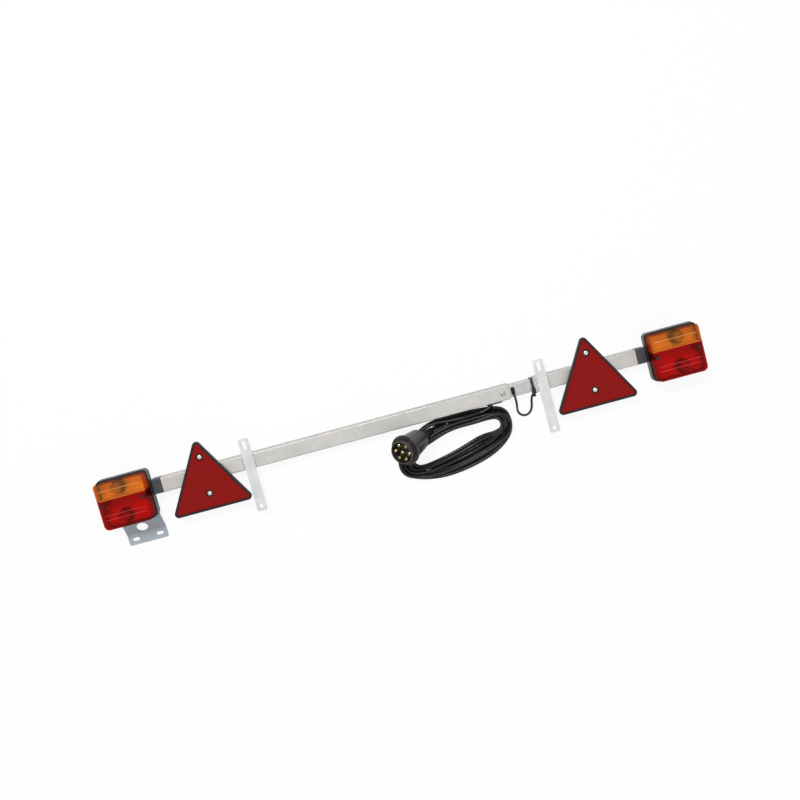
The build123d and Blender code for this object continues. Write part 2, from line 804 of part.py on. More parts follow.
# Straps, reflectors and lamps, one set at each end
strap_places = {"left": left_end_x + left_strap_inset, "right": right_mouth_x + right_strap_inset}
reflector_gaps = {"left": left_reflector_gap, "right": right_reflector_gap}
for name, side in (("left", -1), ("right", 1)):
    save(strap(strap_places[name]), f"{name}_strap")

    reflector_x = strap_places[name] + side * reflector_gaps[name]
    back = Plane((reflector_x, reflector_y, tube_side + strip_thickness))
    save(reflector_strip(reflector_x), f"{name}_reflector_strip")
    save(reflector_tray(back), f"{name}_reflector_tray")
    save(reflector_prism(back), f"{name}_reflector_prism")
    save(reflector_screws(back), f"{name}_reflector_screws")
    save(hex_nuts(back.offset(-strip_thickness), screw_offsets), f"{name}_reflector_nuts")

    sheet = bracket_sheet if name == "left" else 0.0
    lamp = Plane((side * lamp_x, lamp_y, seat_z + sheet))
    save(lamp_holder(side, lamp), f"{name}_lamp_holder")
    save(lamp_base(side, lamp), f"{name}_lamp_base")
    save(lamp_gasket(lamp), f"{name}_lamp_gasket")
    save(amber_lens(lamp), f"{name}_amber_lens")
    save(red_lens(lamp), f"{name}_red_lens")
    save(lens_screws(lamp), f"{name}_lens_screws")
    save(bulb_carrier(lamp), f"{name}_bulb_carrier")
    save(bulb_sockets(side, lamp), f"{name}_bulb_sockets")
    save(bulb_caps(side, lamp), f"{name}_bulb_caps")
    save(bulb_glasses(side, lamp), f"{name}_bulb_glasses")
    save(lamp_bolts(lamp, sheet + plate_thickness), f"{name}_lamp_bolts")
    save(hex_nuts(lamp.offset(-sheet - plate_thickness), bolt_points), f"{name}_lamp_nuts")
    if sheet:
        save(plate_bracket(lamp), "number_plate_bracket")

# Cable outlet: an oval rubber grommet with a slanting bore, and the cable that comes out of it
exit_point = Vector(outlet_x, -tube_side / 2 - outlet_flange_thickness, outlet_z)
exit_direction = Vector(-cos(radians(outlet_angle)), -sin(radians(outlet_angle)), 0)
lead_plane = Plane(exit_point, x_dir=(0, 0, 1), z_dir=exit_direction)

with BuildPart() as cable_outlet:
    with BuildSketch(Plane.XZ.offset(tube_side / 2)):
        with Locations((outlet_centre_x, outlet_z)):
            SlotOverall(outlet_flange_length, outlet_flange_width)
    extrude(amount=outlet_flange_thickness)
    with BuildSketch(Plane.XZ.offset(tube_side / 2)):
        with Locations((outlet_centre_x, outlet_z)):
            SlotOverall(outlet_neck_length - 2 * outlet_fit, outlet_neck_width - 2 * outlet_fit)
    extrude(amount=-tube_wall)
    with BuildSketch(lead_plane):
        Circle(cable_diameter / 2 + cable_fit)
    extrude(amount=outlet_flange_length, both=True, mode=Mode.SUBTRACT)
save(cable_outlet.part, "cable_outlet")

with BuildPart() as cable_lead:
    with BuildSketch(lead_plane.offset(-lead_inside)):
        Circle(cable_diameter / 2)
    extrude(amount=lead_inside + lead_outside)
save(cable_lead.part, "cable_lead")

# Plug, from its open face back to its cable end
plug_face = (outlet_x + plug_offset, plug_y, plug_z)
plug_direction = Vector(
    cos(radians(plug_rise)) * cos(radians(plug_turn)),
    cos(radians(plug_rise)) * sin(radians(plug_turn)),
    sin(radians(plug_rise)),
)
plug_across = Vector(-sin(radians(plug_turn)), cos(radians(plug_turn)), 0)
plug_front = Plane(plug_face, x_dir=plug_across, z_dir=plug_direction)
plug_half = Plane(plug_face, x_dir=plug_across, z_dir=plug_across.cross(plug_direction))
plug_axis = Axis(plug_face, plug_direction)
insert_back = -plug_recess - plug_insert_thickness
nose_radius = plug_nose_diameter / 2
insert_radius = nose_radius - plug_wall
collar_radius = plug_collar_diameter / 2
barrel_radius = plug_barrel_diameter / 2
barrel_end_radius = plug_barrel_end_diameter / 2
nut_radius = plug_nut_diameter / 2
neck_radius = plug_neck_diameter / 2

with BuildPart() as plug_body:
    with BuildSketch(plug_half):
        with BuildLine():
            Polyline(
                (insert_radius, 0),
                (nose_radius, 0),
                (nose_radius, -plug_nose_length),
                (collar_radius, -plug_nose_length),
                (collar_radius, -plug_collar_end),
                (barrel_radius, -plug_collar_end),
                (barrel_end_radius, -plug_barrel_end),
                (nut_radius, -plug_shoulder_end),
                (neck_radius - plug_wall, -plug_shoulder_end),
                (barrel_end_radius - plug_wall, -plug_barrel_end),
                (barrel_radius - plug_wall, insert_back - 2 * plug_wall),
                (insert_radius - plug_lip, insert_back - plug_wall),
                (insert_radius - plug_lip, insert_back),
                (insert_radius, insert_back),
                close=True,
            )
        make_face()
    revolve(axis=plug_axis)
    fillet(plug_body.edges().group_by(plug_axis)[-1], plug_nose_round)
    collar_rims = plug_body.edges().filter_by(GeomType.CIRCLE).group_by(SortBy.RADIUS)[-1]
    fillet(collar_rims, plug_collar_round)
    with BuildSketch(plug_front.offset(-plug_recess)):
        with Locations((0, insert_radius - plug_key_height / 2)):
            Rectangle(plug_key_width, plug_key_height + plug_wall)
    extrude(amount=plug_recess - plug_nose_round)
save(plug_body.part, "plug_body")

with BuildPart() as plug_insert:
    with BuildSketch(plug_front.offset(insert_back)):
        Circle(insert_radius - plug_insert_fit)
        Circle(pin_diameter / 2 + pin_fit, mode=Mode.SUBTRACT)
        with PolarLocations(pin_circle_radius, pin_count):
            Circle(pin_diameter / 2 + pin_fit, mode=Mode.SUBTRACT)
    extrude(amount=plug_insert_thickness)
save(plug_insert.part, "plug_insert")

with BuildPart() as plug_pins:
    with BuildSketch(plug_front.offset(insert_back - pin_tail)):
        Circle(pin_diameter / 2)
        with PolarLocations(pin_circle_radius, pin_count):
            Circle(pin_diameter / 2)
    extrude(amount=plug_recess + plug_insert_thickness + pin_tail - pin_tip_gap)
    chamfer(plug_pins.edges().group_by(plug_axis)[-1], pin_chamfer)
    with BuildSketch(plug_front.offset(-pin_tip_gap)):
        Rectangle(pin_diameter, pin_slit)
        with PolarLocations(pin_circle_radius, pin_count):
            Rectangle(pin_diameter, pin_slit)
    extrude(amount=-pin_slit_depth, mode=Mode.SUBTRACT)
save(plug_pins.part, "plug_pins")

with BuildPart() as plug_gland:
    with BuildSketch(plug_half):
        with BuildLine():
            Polyline(
                (cable_diameter / 2 + cable_fit, -plug_shoulder_end),
                (neck_radius, -plug_shoulder_end),
                (neck_radius, -plug_nut_end),
                (plug_tip_diameter / 2, -plug_length),
                (cable_diameter / 2 + cable_fit, -plug_length),
                close=True,
            )
        make_face()
    revolve(axis=plug_axis)
    with BuildSketch(plug_front.offset(-plug_nut_end)):
        RegularPolygon(nut_radius, plug_nut_sides)
        Circle(neck_radius, mode=Mode.SUBTRACT)
    extrude(amount=plug_nut_end - plug_shoulder_end)
save(plug_gland.part, "plug_gland")

with BuildPart() as cable_tail:
    with BuildSketch(plug_front.offset(-plug_shoulder_end)):
        Circle(cable_diameter / 2)
    extrude(amount=-(plug_length - plug_shoulder_end + tail_length))
save(cable_tail.part, "cable_tail")

# Hank: the outer shape of the coiled cable, high beside the tube and low where its turns fan out
hank_slope = (hank_height - hank_low_height) / (hank_near_y - hank_far_y)
hank_top = Plane((0, hank_near_y, hank_height), x_dir=(1, 0, 0), z_dir=(0, -hank_slope, 1))
with BuildPart() as cable_hank:
    with BuildSketch(Plane((outlet_x, 0, 0))):
        with BuildLine():
            Spline(hank_outer, periodic=True)
        make_face()
        with BuildLine():
            Spline(hank_inner, periodic=True)
        make_face(mode=Mode.SUBTRACT)
    extrude(amount=hank_height)
    split(bisect_by=hank_top, keep=Keep.BOTTOM)
    with BuildSketch(plug_front.offset(-plug_length - tail_length)):
        Circle(neck_radius + plug_pocket_gap)
    extrude(amount=plug_length, mode=Mode.SUBTRACT)
save(cable_hank.part, "cable_hank")

# Link cable: out of the inner tube, down in a loop on the floor and into the right tube's mouth
link_points = [(left_mouth_x + x, y, z) for x, y, z in link_route]
link_radii = route_radii(link_points)
print("link cable radii", [round(radius, 1) for radius in link_radii])
with BuildPart() as link_cable:
    with BuildLine() as link_path:
        FilletPolyline(*link_points, radius=link_radii)
    with BuildSketch(Plane(link_path.line @ 0, z_dir=link_path.line % 0)):
        Circle(link_diameter / 2)
    sweep()
save(link_cable.part, "link_cable")

# Cable tie: a strap round the inner tube and the link cable, with its head at the front corner
half = inner_side / 2 + tie_fit
cable_side = half + link_diameter + tie_slack
with BuildPart() as cable_tie:
    with BuildSketch(Plane.YZ.offset(tie_x - tie_width / 2)):
        with BuildLine():
            Polyline(
                (half, axis_z + half),
                (half, axis_z - half),
                (-half, axis_z - half),
                (-cable_side, link_notch_z - link_diameter),
                (-cable_side, link_notch_z + link_diameter / 2),
                (-half, axis_z + half),
                close=True,
            )
        loop = make_face()
        offset(amount=tie_thickness)
        add(loop, mode=Mode.SUBTRACT)
    extrude(amount=tie_width)
    with BuildSketch(Plane.XY.offset(axis_z + half)):
        with Locations((tie_x, -half + tie_head_length / 2)):
            RectangleRounded(tie_width + 2 * tie_thickness, tie_head_length, tie_corner)
    extrude(amount=tie_head_height)
save(cable_tie.part, "cable_tie")
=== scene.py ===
# %% [markdown]
# # A trailer lighting board
# The board lies on its back: a telescopic square bar with a lamp and a triangular reflector at each
# end, two fixing straps, a bracket for the number plate, a hank of cable and a plug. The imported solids
# already have the right shapes, so this lesson gives them their finishes and adds what is soft or fine.

# %% Load the solids
import math

import bpy
import numpy as np
from mathutils import Matrix, Vector


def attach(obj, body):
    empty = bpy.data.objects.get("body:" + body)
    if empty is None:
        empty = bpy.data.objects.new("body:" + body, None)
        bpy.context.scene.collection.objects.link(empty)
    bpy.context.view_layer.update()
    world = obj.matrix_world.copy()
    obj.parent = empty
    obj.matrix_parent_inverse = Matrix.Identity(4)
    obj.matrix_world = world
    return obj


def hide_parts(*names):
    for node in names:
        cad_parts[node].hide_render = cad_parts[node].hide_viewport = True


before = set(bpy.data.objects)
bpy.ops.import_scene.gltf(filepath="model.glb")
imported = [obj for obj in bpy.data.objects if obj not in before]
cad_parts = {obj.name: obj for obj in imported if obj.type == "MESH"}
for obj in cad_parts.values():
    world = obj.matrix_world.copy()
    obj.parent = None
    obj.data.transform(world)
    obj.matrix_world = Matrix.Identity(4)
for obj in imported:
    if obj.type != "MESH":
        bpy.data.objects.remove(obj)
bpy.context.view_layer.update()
scene = bpy.context.scene
scene.view_settings.view_transform = "Standard"
MM = 0.001

# %% [markdown]
# ## Camera
# The photograph looks down on the board from above, turned by about fifteen degrees. The camera's place
# and its three axes were found by fitting known sizes of the board to the photograph. Angles would do as
# well, but a matrix holds the turn, the tilt and the place in one line.

# %% Camera
camera_data = bpy.data.cameras.new("camera")
camera_data.sensor_width = 36.0
camera_data.lens = 50.09
camera_data.clip_end = 20.0
camera = bpy.data.objects.new("camera", camera_data)
scene.collection.objects.link(camera)
camera_right = (0.96537, -0.26072, 0.00883)
camera_up = (0.26007, 0.95924, -0.11056)
camera_back = (0.02035, 0.10903, 0.99383)
camera_place = (0.05827, 0.27570, 2.18032)
turn = Matrix((camera_right, camera_up, camera_back)).transposed()
camera.matrix_world = Matrix.Translation(camera_place) @ turn.to_4x4()
scene.camera = camera
print("camera height:", camera_place[2], "m")

# %% [markdown]
# ## Finishes: helpers
# Paint charts and photographs give colours as sRGB hex codes, but shaders work with linear light, so one
# function turns codes into linear colour. Another adds a node, sets it and links it in a single line.
# Patterns are counted per metre, because Object coordinates are in metres here.


# %% Helpers for materials
def linear(code):
    """Linear colour with alpha from an sRGB hex code."""
    parts = [int(code[i : i + 2], 16) / 255 for i in (1, 3, 5)]
    return [p / 12.92 if p <= 0.04045 else ((p + 0.055) / 1.055) ** 2.4 for p in parts] + [1.0]


def start_material(name, **sockets):
    """Node material with one Principled shader; constants go straight on its sockets."""
    material = bpy.data.materials.new(name)
    material.use_nodes = True
    shader = material.node_tree.nodes["Principled BSDF"]
    for socket, value in sockets.items():
        shader.inputs[socket.replace("_", " ")].default_value = value
    return material, material.node_tree, shader


def add(tree, kind, links=None, values=None, **settings):
    """Adds a node, sets its properties and sockets, and links what feeds it."""
    node = tree.nodes.new(kind)
    for key, value in settings.items():
        setattr(node, key, value)
    for key, value in (values or {}).items():
        node.inputs[key].default_value = value
    for key, source in (links or {}).items():
        tree.links.new(source, node.inputs[key])
    return node


def paint(names, material):
    """Puts a material on the slots of CAD nodes, and says where it went."""
    for name in names:
        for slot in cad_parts[name].material_slots:
            slot.link = "OBJECT"
            slot.material = material
    print(material.name, "on", ", ".join(names))


def both(*names):
    """Left and right copies of node names."""
    return [f"{side}_{name}" for side in ("left", "right") for name in names]


print("middle grey in linear light:", round(linear("#808080")[0], 3))

# %% [markdown]
# ## Galvanised steel
# The tubes, straps and bracket are steel dipped or plated with zinc. Zinc freezes in flat crystals, so the
# grey changes a little from patch to patch, and the shine changes in wider clouds. An image could show
# that, but Voronoi cells of about ten millimetres make such patches at any size, and a fine noise that is
# stretched one way makes the drawing marks along the bar.


# %% Zinc finish
def zinc_finish(name, dark, light, crystal_mm, rough, stretch=(0.02, 1.0, 1.0), metal=0.6):
    """Zinc on steel: crystals in two greys, drawing marks and an uneven shine."""
    marks_per_m = 900.0
    clouds_per_m = 22.0
    cloud_low, cloud_high = 0.3, 0.7
    lightest_at = 0.6
    material, tree, shader = start_material(name, Metallic=metal)
    place = add(tree, "ShaderNodeTexCoord").outputs["Object"]
    crystals = add(tree, "ShaderNodeTexVoronoi", {"Vector": place}, {"Scale": 1000 / crystal_mm})
    drawn = add(tree, "ShaderNodeMapping", {"Vector": place}, {"Scale": stretch})
    marks = add(
        tree, "ShaderNodeTexNoise", {"Vector": drawn.outputs[0]}, {"Scale": marks_per_m, "Detail": 4.0}
    )
    cloud = add(tree, "ShaderNodeTexNoise", {"Vector": place}, {"Scale": clouds_per_m, "Detail": 5.0})
    grey = add(tree, "ShaderNodeSeparateColor", {"Color": crystals.outputs["Color"]})
    blend = add(
        tree,
        "ShaderNodeMath",
        {0: grey.outputs["Red"], 1: cloud.outputs["Fac"]},
        operation="MULTIPLY",
    )
    colour = add(tree, "ShaderNodeValToRGB", {"Fac": blend.outputs[0]})
    colour.color_ramp.elements[0].color = linear(dark)
    colour.color_ramp.elements[1].color = linear(light)
    colour.color_ramp.elements[1].position = lightest_at
    shine = add(
        tree,
        "ShaderNodeMapRange",
        {"Value": cloud.outputs["Fac"]},
        {"From Min": cloud_low, "From Max": cloud_high, "To Min": rough[0], "To Max": rough[1]},
    )
    bump = add(
        tree, "ShaderNodeBump", {"Height": marks.outputs["Fac"]}, {"Strength": 0.12, "Distance": 0.2 * MM}
    )
    tree.links.new(colour.outputs["Color"], shader.inputs["Base Color"])
    tree.links.new(shine.outputs["Result"], shader.inputs["Roughness"])
    tree.links.new(bump.outputs["Normal"], shader.inputs["Normal"])
    return material


# %% Zinc on the pieces
across = (1.0, 0.02, 1.0)
# Hot-dip zinc gives the tubes a pale, even grey with broad soft reflections.
tube_zinc = zinc_finish("hot_dip_zinc_tube", "#c4c3c0", "#ccc9c6", crystal_mm=9.0, rough=(0.42, 0.56))
# Zinc that slides in the other tube is rubbed: the same grey, a little shinier.
inner_zinc = zinc_finish("worn_zinc_inner_tube", "#bfbfbe", "#cccbca", crystal_mm=9.0, rough=(0.36, 0.5))
# Bright zinc plate on flat bar looks almost white, with marks across the board.
strap_zinc = zinc_finish("bright_zinc_strap", "#d8d9d9", "#e4e5e5", 12.0, (0.34, 0.5), across)
# Zinc on rolled sheet is smoother; its grey is painted darker and bluer for the shade that lies on the bracket's
# slope.
sheet_zinc_and_shade = zinc_finish("zinc_sheet_bracket_and_painted_shade", "#aab3bc", "#b8c0c9", 14.0, (0.3, 0.42), metal=0.5)
# Plated screws, rivets and nuts are small glints of bare metal.
fastener_zinc = zinc_finish("zinc_fasteners", "#b9bbbd", "#cfd0d2", 3.0, (0.28, 0.4), metal=0.9)
# Blackened screws are dark warm dots in the lenses.
dull_steel = zinc_finish("blackened_lens_screws", "#3a3430", "#4a4440", 2.0, (0.35, 0.5), metal=0.7)
# Polished screw heads are white dots on the red reflectors.
bright_steel = zinc_finish("polished_screw_heads", "#e6e3e0", "#f6f3f0", 4.0, (0.2, 0.3), metal=0.8)
paint(["left_tube", "right_tube"], tube_zinc)
paint(["inner_tube"], inner_zinc)
paint(both("strap", "reflector_strip"), strap_zinc)
paint(["number_plate_bracket"], sheet_zinc_and_shade)
paint(["clamp_screw", "extension_rivets"] + both("reflector_nuts", "lamp_bolts", "lamp_nuts"), fastener_zinc)
paint(both("reflector_screws"), bright_steel)
paint(both("lens_screws"), dull_steel)

# %% [markdown]
# ## Black plastics and rubber
# The housings, trays and holders are moulded ABS: near black, glossy where the mould was polished and
# satin where it was etched. The cable's sheath and the grommets are soft PVC and rubber, which are duller.
# One plain black would look flat, so a noise varies the gloss and the colour in patches of about 30 mm.
# The etched grain is finer than a millimetre on the real thing, and is drawn coarser here so that it shows.


# %% Black finish
def moulded_finish(name, code, rough, grit_mm, depth_mm, variation=0.25, specular=0.5):
    """Moulded plastic or rubber: one dark colour, an etched grain and an uneven gloss."""
    smears_per_m = 35.0
    smear_low, smear_high = 0.3, 0.7
    darker, lighter = 0.75, 1.3
    material, tree, shader = start_material(name, IOR=1.5, Specular_IOR_Level=specular)
    place = add(tree, "ShaderNodeTexCoord").outputs["Object"]
    grain = add(tree, "ShaderNodeTexNoise", {"Vector": place}, {"Scale": 1000 / grit_mm, "Detail": 2.0})
    smear = add(tree, "ShaderNodeTexNoise", {"Vector": place}, {"Scale": smears_per_m, "Detail": 4.0})
    shine = add(
        tree,
        "ShaderNodeMapRange",
        {"Value": smear.outputs["Fac"]},
        {
            "From Min": smear_low,
            "From Max": smear_high,
            "To Min": rough * (1 - variation),
            "To Max": rough * (1 + variation),
        },
    )
    colour = add(tree, "ShaderNodeValToRGB", {"Fac": smear.outputs["Fac"]})
    base = linear(code)[:3]
    colour.color_ramp.elements[0].color = [c * darker for c in base] + [1.0]
    colour.color_ramp.elements[1].color = [c * lighter for c in base] + [1.0]
    bump = add(
        tree, "ShaderNodeBump", {"Height": grain.outputs["Fac"]}, {"Strength": 0.35, "Distance": depth_mm * MM}
    )
    tree.links.new(colour.outputs["Color"], shader.inputs["Base Color"])
    tree.links.new(shine.outputs["Result"], shader.inputs["Roughness"])
    tree.links.new(bump.outputs["Normal"], shader.inputs["Normal"])
    return material


# %% Black on the pieces
# Satin ABS is near black with a soft line of light along its edges.
housing_black = moulded_finish("satin_abs_housing", "#26282a", 0.4, grit_mm=1.2, depth_mm=0.02, specular=0.4)
# Etched ABS scatters the light, so the holders look dark blue-grey.
holder_black = moulded_finish("etched_abs_holder", "#3a4148", 0.5, grit_mm=0.8, depth_mm=0.06)
# The trays are a warm black frame round the red.
tray_black = moulded_finish("satin_abs_tray", "#1b1416", 0.38, grit_mm=1.0, depth_mm=0.03, specular=0.4)
# Foam has no gloss and shows as a dull dark line.
seal_black = moulded_finish("foam_seal", "#232323", 0.8, grit_mm=0.9, depth_mm=0.1)
# A PVC sheath has a narrow line of light along every strand.
cable_black = moulded_finish("pvc_cable_sheath", "#121419", 0.36, grit_mm=1.5, depth_mm=0.02, specular=0.4)
# Rubber is as black as the sheath, and duller.
grommet_black = moulded_finish("rubber_grommet", "#1b1b1c", 0.55, grit_mm=0.7, depth_mm=0.05, specular=0.4)
# A nylon tie is black with small sharp glints.
tie_black = moulded_finish("nylon_cable_tie", "#1c1c1d", 0.4, grit_mm=0.9, depth_mm=0.03)
# Bakelite is a warm dark round behind the lens.
socket_dark = moulded_finish("bakelite_bulb_holder", "#2b2523", 0.5, grit_mm=0.9, depth_mm=0.04)
# The plug's nylon shell is dark grey, with wide soft highlights.
shell_grey = moulded_finish("etched_nylon_plug_shell", "#2d2b2b", 0.27, 0.9, depth_mm=0.04, specular=0.6)
# The plug's core is darker and warmer, which sets off the pins.
core_grey = moulded_finish("nylon_plug_core", "#1e1c16", 0.5, grit_mm=0.8, depth_mm=0.04)
paint(both("lamp_base"), housing_black)
paint(both("lamp_holder"), holder_black)
paint(both("reflector_tray"), tray_black)
paint(both("lamp_gasket"), seal_black)
paint(["cable_outlet", "plug_gland"], grommet_black)
paint(["cable_tie"], tie_black)
paint(both("bulb_sockets"), socket_dark)
paint(["plug_body"], shell_grey)
paint(["plug_insert"], core_grey)

# %% [markdown]
# ## Lenses, bulbs and the plate behind them
# The lenses are tinted acrylic, so they are see-through shells: amber above and red below. Glass alone
# would keep the light of the lamps out, because a refracting wall stops shadow rays. So a tinted
# Transparent shader carries most of the view and every shadow ray, and the acrylic's gloss lies over it.


# %% Lens finish
def lens_finish(name, code, edge_code, clear_share, front=None):
    """Tinted acrylic: clear on the face, deeper on the steep sides, and a painted highlight on the crowns of the
    ribs.
    """
    ripples_per_m = 60.0
    facing, slanting = 0.25, 0.85
    # The share left on the ribs' crowns and the two heights below set the painted highlight there.
    edge_share, clear_share_under_painted_highlight = 0.93, 0.1
    painted_highlight_low, painted_highlight_high = 0.3 * MM, 0.9 * MM
    material, tree, shader = start_material(
        name, IOR=1.49, Transmission_Weight=0.7, Roughness=0.08, Specular_IOR_Level=0.1
    )
    place = add(tree, "ShaderNodeTexCoord").outputs["Object"]
    ripples = add(tree, "ShaderNodeTexNoise", {"Vector": place}, {"Scale": ripples_per_m, "Detail": 2.0})
    bump = add(
        tree, "ShaderNodeBump", {"Height": ripples.outputs["Fac"]}, {"Strength": 0.1, "Distance": 0.4 * MM}
    )
    slant = add(tree, "ShaderNodeLayerWeight", values={"Blend": 0.5}).outputs["Facing"]
    tint = add(tree, "ShaderNodeValToRGB", {"Fac": slant})
    tint.color_ramp.elements[0].color = linear(code)
    tint.color_ramp.elements[0].position = facing
    tint.color_ramp.elements[1].color = linear(edge_code)
    tint.color_ramp.elements[1].position = slanting
    share = add(
        tree,
        "ShaderNodeMapRange",
        {"Value": slant},
        {"From Min": facing, "From Max": slanting, "To Min": clear_share, "To Max": edge_share},
    ).outputs["Result"]
    # Painted highlight: on the ribs' crowns the clear share drops, so the lit acrylic shows as a pale line.
    if front is not None:
        height = add(tree, "ShaderNodeSeparateXYZ", {"Vector": place})
        off_painted_highlight = add(
            tree,
            "ShaderNodeMapRange",
            {"Value": height.outputs["Z"]},
            {"From Min": front + painted_highlight_low, "From Max": front + painted_highlight_high, "To Min": 1.0, "To Max": clear_share_under_painted_highlight},
        ).outputs["Result"]
        share = add(tree, "ShaderNodeMath", {0: share, 1: off_painted_highlight}, operation="MULTIPLY").outputs[0]
    shadow = add(tree, "ShaderNodeLightPath").outputs["Is Shadow Ray"]
    see_through = add(tree, "ShaderNodeMath", {0: shadow, 1: share}, operation="MAXIMUM")
    clear = add(tree, "ShaderNodeBsdfTransparent", {"Color": tint.outputs["Color"]})
    mix = add(
        tree,
        "ShaderNodeMixShader",
        {0: see_through.outputs[0], 1: shader.outputs[0], 2: clear.outputs[0]},
    )
    tree.links.new(tint.outputs["Color"], shader.inputs["Base Color"])
    tree.links.new(bump.outputs["Normal"], shader.inputs["Normal"])
    tree.links.new(mix.outputs[0], tree.nodes["Material Output"].inputs["Surface"])
    return material


# %% Lenses and bulbs
# Height of each lamp's lens face, from which its ribs stand up; above it the ribs' crowns get a painted
# highlight.
for side, face in (("left", 74.5 * MM), ("right", 73.0 * MM)):
    # Amber acrylic is honey over the white plate and deep orange on its steep sides, with a painted highlight
    # along its ribs.
    amber = lens_finish(f"amber_acrylic_{side}", "#f6cc7c", "#d88024", clear_share=0.82, front=face)
    # Red acrylic is bright over the plate and dark on its sides; the pale line along its ribs is a painted
    # highlight.
    red = lens_finish(f"red_acrylic_{side}", "#ec4842", "#b81614", clear_share=0.82, front=face)
    paint([f"{side}_amber_lens"], amber)
    paint([f"{side}_red_lens"], red)
# Clear glass shows by its rim and a small highlight.
paint(both("bulb_glasses"), lens_finish("clear_bulb_glass", "#fdfdf8", "#c8c8c0", clear_share=0.6))
# White ABS sends the light back, so that the lenses glow.
white_plate = moulded_finish("white_abs_reflector_plate", "#e9e7e2", 0.35, 1.0, 0.02, variation=0.1)
paint(both("bulb_carrier"), white_plate)

# %% [markdown]
# ## Brass
# The plug's pins and the bulbs' caps are turned or drawn brass, which tarnishes in small spots. A metal
# needs its colour in the Base Color, so a noise blends a bright brass with a duller one.


# %% Brass finish
def brass_finish(name, dark, light, rough):
    """Drawn brass with faint tarnish."""
    spots_per_m = 250.0
    tarnished_at, bright_at = 0.35, 0.65
    material, tree, shader = start_material(name, Metallic=1.0, Roughness=rough)
    place = add(tree, "ShaderNodeTexCoord").outputs["Object"]
    tarnish = add(tree, "ShaderNodeTexNoise", {"Vector": place}, {"Scale": spots_per_m, "Detail": 4.0})
    colour = add(tree, "ShaderNodeValToRGB", {"Fac": tarnish.outputs["Fac"]})
    colour.color_ramp.elements[0].color = linear(dark)
    colour.color_ramp.elements[0].position = tarnished_at
    colour.color_ramp.elements[1].color = linear(light)
    colour.color_ramp.elements[1].position = bright_at
    tree.links.new(colour.outputs["Color"], shader.inputs["Base Color"])
    return material


# New pins are pale gold dots in the plug's dark face.
paint(["plug_pins"], brass_finish("brass_plug_pins", "#c9b56a", "#efe3ae", rough=0.3))
# Caps that get hot are a browner gold.
paint(both("bulb_caps"), brass_finish("brass_bulb_caps", "#a98643", "#d7b972", rough=0.32))

# %% [markdown]
# ## Triangular reflectors
# The red face is acrylic with small cube corners moulded into its back. A toolmaker cuts them as three
# sets of V-shaped grooves at sixty degrees, and three Wave textures do the same here: what is left
# between the grooves are little pyramids of about three millimetres.


# %% Reflector finish
def reflector_finish(name, pitch_mm):
    """Deep red acrylic over pyramids left between three sets of grooves."""
    wave_factor = 20  # a Wave texture multiplies its own scale by this
    lightest_at = 0.6
    material, tree, shader = start_material(name, IOR=1.49, Roughness=0.25, Specular_IOR_Level=0.1)
    place = add(tree, "ShaderNodeTexCoord").outputs["Object"]
    pyramids = None
    for degrees in (0, 60, 120):
        turned = add(
            tree, "ShaderNodeMapping", {"Vector": place}, {"Rotation": (0, 0, math.radians(degrees))}
        )
        grooves = add(
            tree,
            "ShaderNodeTexWave",
            {"Vector": turned.outputs[0]},
            {"Scale": math.tau / (wave_factor * pitch_mm * MM)},
            wave_profile="TRI",
        ).outputs["Fac"]
        if pyramids is not None:
            grooves = add(tree, "ShaderNodeMath", {0: pyramids, 1: grooves}, operation="MINIMUM").outputs[0]
        pyramids = grooves
    colour = add(tree, "ShaderNodeValToRGB", {"Fac": pyramids})
    colour.color_ramp.elements[0].color = linear("#7a0f0c")
    colour.color_ramp.elements[1].color = linear("#951613")
    colour.color_ramp.elements[1].position = lightest_at
    bump = add(tree, "ShaderNodeBump", {"Height": pyramids}, {"Strength": 0.2, "Distance": 0.4 * MM})
    tree.links.new(colour.outputs["Color"], shader.inputs["Base Color"])
    tree.links.new(bump.outputs["Normal"], shader.inputs["Normal"])
    return material


# Prisms under the acrylic give a deep, even red with a fine triangular sparkle.
paint(both("reflector_prism"), reflector_finish("red_prism_acrylic", pitch_mm=3.0))

# %% [markdown]
# ## The loop of cable between the two tubes
# A thin cable comes out of the inner tube, hangs in a loop on the floor and goes into the right tube, so
# that the bar can be drawn out. A swept mesh would do, but a NURBS curve through the route's points, with
# a round bevel, stays smooth with few points.


# %% Cable helpers
def cable_curve(name, points, diameter, material):
    """One open NURBS spline of order three with a round section."""
    curve = bpy.data.curves.new(name, "CURVE")
    curve.dimensions = "3D"
    curve.bevel_depth = diameter / 2
    curve.bevel_resolution = 4
    curve.resolution_u = 4
    curve.use_fill_caps = True
    spline = curve.splines.new("NURBS")
    spline.points.add(len(points) - 1)
    for control, point in zip(spline.points, points):
        control.co = (*point, 1.0)
    spline.order_u = 3
    spline.use_endpoint_u = True
    curve.materials.append(material)
    cable = bpy.data.objects.new(name, curve)
    scene.collection.objects.link(cable)
    return cable


def line_length(cable):
    """Length of a cable's centreline, read from its spline with no bevel."""
    depth = cable.data.bevel_depth
    cable.data.bevel_depth = 0.0
    line = bpy.data.meshes.new_from_object(cable.evaluated_get(bpy.context.evaluated_depsgraph_get()))
    cable.data.bevel_depth = depth
    points = [vertex.co.copy() for vertex in line.vertices]
    bpy.data.meshes.remove(line)
    return sum((b - a).length for a, b in zip(points, points[1:]))


